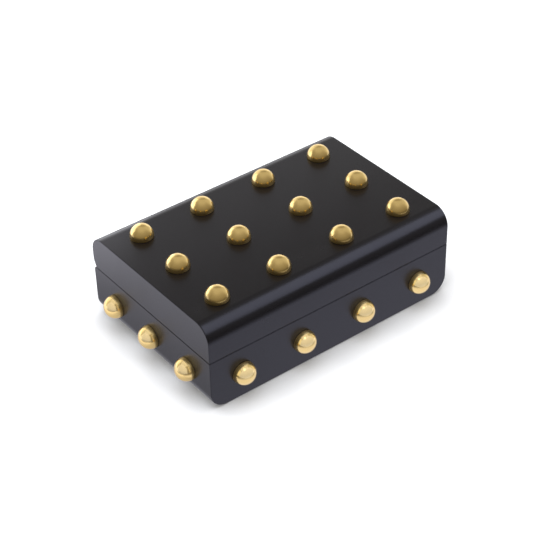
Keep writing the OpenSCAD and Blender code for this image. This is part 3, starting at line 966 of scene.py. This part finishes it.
def world_light():
    """A pale studio: bright low down behind the box, with gaps between its panels, dim in front, white below."""
    w = bpy.data.worlds.new("studio")
    scene.world = w
    w.use_nodes = True
    nt = w.node_tree
    nt.nodes.clear()
    out = nt.nodes.new("ShaderNodeOutputWorld")
    bg = nt.nodes.new("ShaderNodeBackground")
    nt.links.new(bg.outputs[0], out.inputs[0])
    co = nt.nodes.new("ShaderNodeTexCoord").outputs["Generated"]
    sep = nt.nodes.new("ShaderNodeSeparateXYZ")
    nt.links.new(co, sep.inputs[0])
    z = sep.outputs[2]
    d = nt.nodes.new("ShaderNodeVectorMath")
    d.operation = "DOT_PRODUCT"
    d.inputs[1].default_value = (-0.45, -0.893, 0.0)
    nt.links.new(co, d.inputs[0])
    front = remap(nt, d.outputs["Value"], -1.0, 1.0, 0.0, 1.0)
    narrowed = math_node(nt, "ADD", front, remap(nt, z, 0.0, 0.5, 0.15, 0.0))

    def level(colour, gain):
        n = nt.nodes.new("ShaderNodeSeparateColor")
        nt.links.new(colour, n.inputs[0])
        return math_node(nt, "MULTIPLY", n.outputs[0], gain)

    # above the horizon
    height = ramp(nt, z, [(0.0, 1.30), (0.12, 1.12), (0.27, 0.90), (0.42, 0.76), (0.55, 0.70), (0.78, 0.69), (1.0, 0.66)])
    dim = ramp(nt, narrowed, [(0.0, 1.0), (0.40, 0.97), (0.53, 0.60), (0.62, 0.32), (0.68, 0.24), (0.84, 0.19), (1.0, 0.17)])
    lift = ramp(nt, z, [(0.0, 0.02), (0.25, 0.21), (0.50, 0.45), (0.77, 0.61), (0.91, 0.82), (1.0, 1.0)])
    dim = mix_colour(nt, lift, dim, (1.0, 1.0, 1.0))
    lum = mix_colour(nt, 1.0, height, dim, "MULTIPLY")
    for towards, wide, dark in (((0.477, 0.637, 0.605), 0.88, 0.60), ((-0.64, 0.53, 0.55), 0.80, 0.74)):
        gap = nt.nodes.new("ShaderNodeVectorMath")
        gap.operation = "DOT_PRODUCT"
        gap.inputs[1].default_value = towards
        nt.links.new(co, gap.inputs[0])
        lum = mix_colour(nt, 1.0, lum, ramp(nt, gap.outputs["Value"], [(wide, 1.0), (0.98, dark)]), "MULTIPLY")
    lum = level(lum, 1 / 1.5)
    warm = [(0.00, 0.95, 0.80, 0.55), (0.25, 1.0, 0.88, 0.66), (0.55, 1.0, 0.95, 0.86), (0.90, 1.0, 0.99, 0.97), (1.40, 1.0, 1.0, 1.03)]
    above = ramp(nt, lum, [(v / 1.5, (v * r, v * g, v * b)) for v, r, g, b in warm])

    # below it: the white table, which ends close in front
    down = math_node(nt, "MULTIPLY", z, -1.0)
    table = ramp(nt, down, [(0.0, 0.14), (0.14, 0.16), (0.25, 0.32), (0.36, 0.70), (0.49, 1.07), (1.0, 1.12)])
    side = ramp(nt, front, [(0.42, 1.0), (0.60, 0.0)])
    table = mix_colour(nt, side, table, (1.05, 1.05, 1.05))
    away = nt.nodes.new("ShaderNodeVectorMath")
    away.operation = "DOT_PRODUCT"
    away.inputs[1].default_value = (0.477, 0.637, -0.605)
    nt.links.new(co, away.inputs[0])
    shade = ramp(nt, away.outputs["Value"], [(0.70, 1.0), (0.90, 0.32)])
    table = mix_colour(nt, 1.0, table, shade, "MULTIPLY")
    white = [(0.00, 0.95, 0.80, 0.55), (0.25, 1.0, 0.90, 0.72), (0.60, 1.0, 0.98, 1.05), (1.00, 1.0, 1.01, 1.22), (1.25, 1.0, 1.0, 1.12)]
    below = ramp(nt, level(table, 1 / 1.5), [(v / 1.5, (v * r, v * g, v * b)) for v, r, g, b in white])

    up = remap(nt, z, -0.02, 0.02, 0.0, 1.0)
    nt.links.new(mix_colour(nt, up, below, above), bg.inputs[0])
    bg.inputs[1].default_value = 1.0


world_light()


def softbox(name, where, target, size, radiance, colour=(1, 1, 1), only=None, never=None, past=None):
    """A rectangular softbox of a given radiance. Some light just a few pieces, like a card held by hand."""
    lamp = bpy.data.lights.new(name, "AREA")
    lamp.shape = "RECTANGLE"
    lamp.size, lamp.size_y = size
    lamp.energy = radiance * math.pi * size[0] * size[1]
    lamp.color = colour
    o = link(bpy.data.objects.new(name, lamp))
    o.location = where
    o.rotation_mode = "QUATERNION"
    o.rotation_quaternion = (Vector(target) - Vector(where)).to_track_quat("-Z", "Y")
    o.visible_camera = False
    if only or never:
        group = bpy.data.collections.new(name + "_pieces")
        for piece in only or never:
            group.objects.link(piece)
        o.light_linking.receiver_collection = group
        if never:
            for entry in group.collection_objects:
                entry.light_linking.link_state = "EXCLUDE"
    if past:
        group = bpy.data.collections.new(name + "_past")
        for piece in past:
            group.objects.link(piece)
        o.light_linking.blocker_collection = group
        for entry in group.collection_objects:
            entry.light_linking.link_state = "EXCLUDE"
    return o


CREAM = (0.88, 1.0, 1.54)
softbox("high_front_softbox", (0.567, -0.484, 0.96), (0, 0, 0.03), (0.92, 0.92), 2.25, (0.84, 0.90, 1.15), never=lid_sets + [front_set, floor])
softbox("front_stud_spot", (-0.20, -0.47, 1.09), (0, 0, 0.03), (0.34, 0.46), 1.0, (0.95, 1.0, 1.1), only=[front_set])
softbox("left_stud_spot", (0.24, -0.66, 1.00), (-0.08, 0, 0.03), (0.40, 0.60), 0.7, (0.95, 1.0, 1.1), only=[left_set], past=[base, lid])
softbox("left_back_card", (-0.085, 0.125, 0.085), (-0.085, 0, 0.085), (0.155, 0.09), 0.95, (0.97, 0.98, 1.06), never=[left_set, floor])
softbox("back_card", (0.06, 0.26, 0.135), (0.06, 0, 0.10), (0.75, 0.27), 0.48, (0.97, 0.98, 1.03), never=[floor])
softbox("front_card", (-0.25, -1.1, 1.3), (-0.25, 0, 1.3), (6.0, 2.6), 0.64, CREAM, only=[front_set])
softbox("front_table_card", (0.0, -0.80, 0.002), (0.0, -0.80, 1.0), (3.0, 1.40), 0.80, CREAM, only=[front_set])
softbox("front_left_card", (-2.2, 0.375, 1.3), (0, 0.375, 1.3), (2.25, 2.6), 0.76, (1.0, 1.0, 0.95), only=[front_set])
softbox("front_right_card", (2.2, -0.45, 1.2), (0, -0.45, 1.2), (0.9, 2.4), 0.10, (1.0, 1.05, 1.1), only=[front_set])
softbox("top_card", (-0.1, 0.3, 2.2), (-0.1, 0.3, 0), (2.8, 2.8), 0.45, CREAM, only=[front_set, left_set])
softbox("left_card", (-1.1, -0.525, 0.85), (0, -0.525, 0.85), (2.75, 1.7), 0.68, CREAM, only=[left_set])
softbox("left_low_card", (-1.1, 0.125, 0.16), (0, 0.125, 0.16), (1.45, 0.32), 0.22, CREAM, only=[left_set])
softbox("left_table_card", (-0.84, -0.20, 0.002), (-0.84, -0.20, 1.0), (1.40, 3.0), 0.54, CREAM, only=[left_set])
softbox("left_far_card", (-0.45, 2.2, 1.2), (-0.45, 0, 1.2), (1.7, 2.4), 0.30, (1.0, 1.05, 1.2), only=[left_set])
softbox("left_front_card", (0.3, -1.7, 1.2), (0.3, 0, 1.2), (1.4, 2.4), 0.42, (1.0, 1.0, 1.1), only=[left_set])
softbox("sweep_light", (-0.45, 0.15, 2.4), (0, 0, 0), (3.0, 3.0), 3.2, (0.97, 0.99, 1.04), only=[floor])


# ---------------------------------------------------------------- camera
def camera():
    az, el, roll = math.radians(-36.80075), math.radians(37.26877), math.radians(-1.53245)
    back = Vector((math.sin(az) * math.cos(el), -math.cos(az) * math.cos(el), math.sin(el)))
    right = Vector((math.cos(az), math.sin(az), 0.0))
    up = back.cross(right)
    R = math.cos(roll) * right + math.sin(roll) * up
    U = -math.sin(roll) * right + math.cos(roll) * up
    where = Vector((0, 0, 25.5)) - 0.910735 * R - 4.400301 * U + 822.68938 * back
    data = bpy.data.cameras.new("camera")
    data.sensor_width = 36.0
    data.lens = 1588.6539 / 540 * 36.0
    data.clip_start, data.clip_end = 0.02, 50.0
    o = link(bpy.data.objects.new("camera", data))
    o.rotation_mode = "QUATERNION"
    o.rotation_quaternion = Matrix((R, U, back)).transposed().to_quaternion()
    o.location = where * MM
    scene.camera = o


camera()
scene.view_settings.view_transform = "Standard"
scene.view_settings.look = "None"
scene.cycles.use_denoising = True
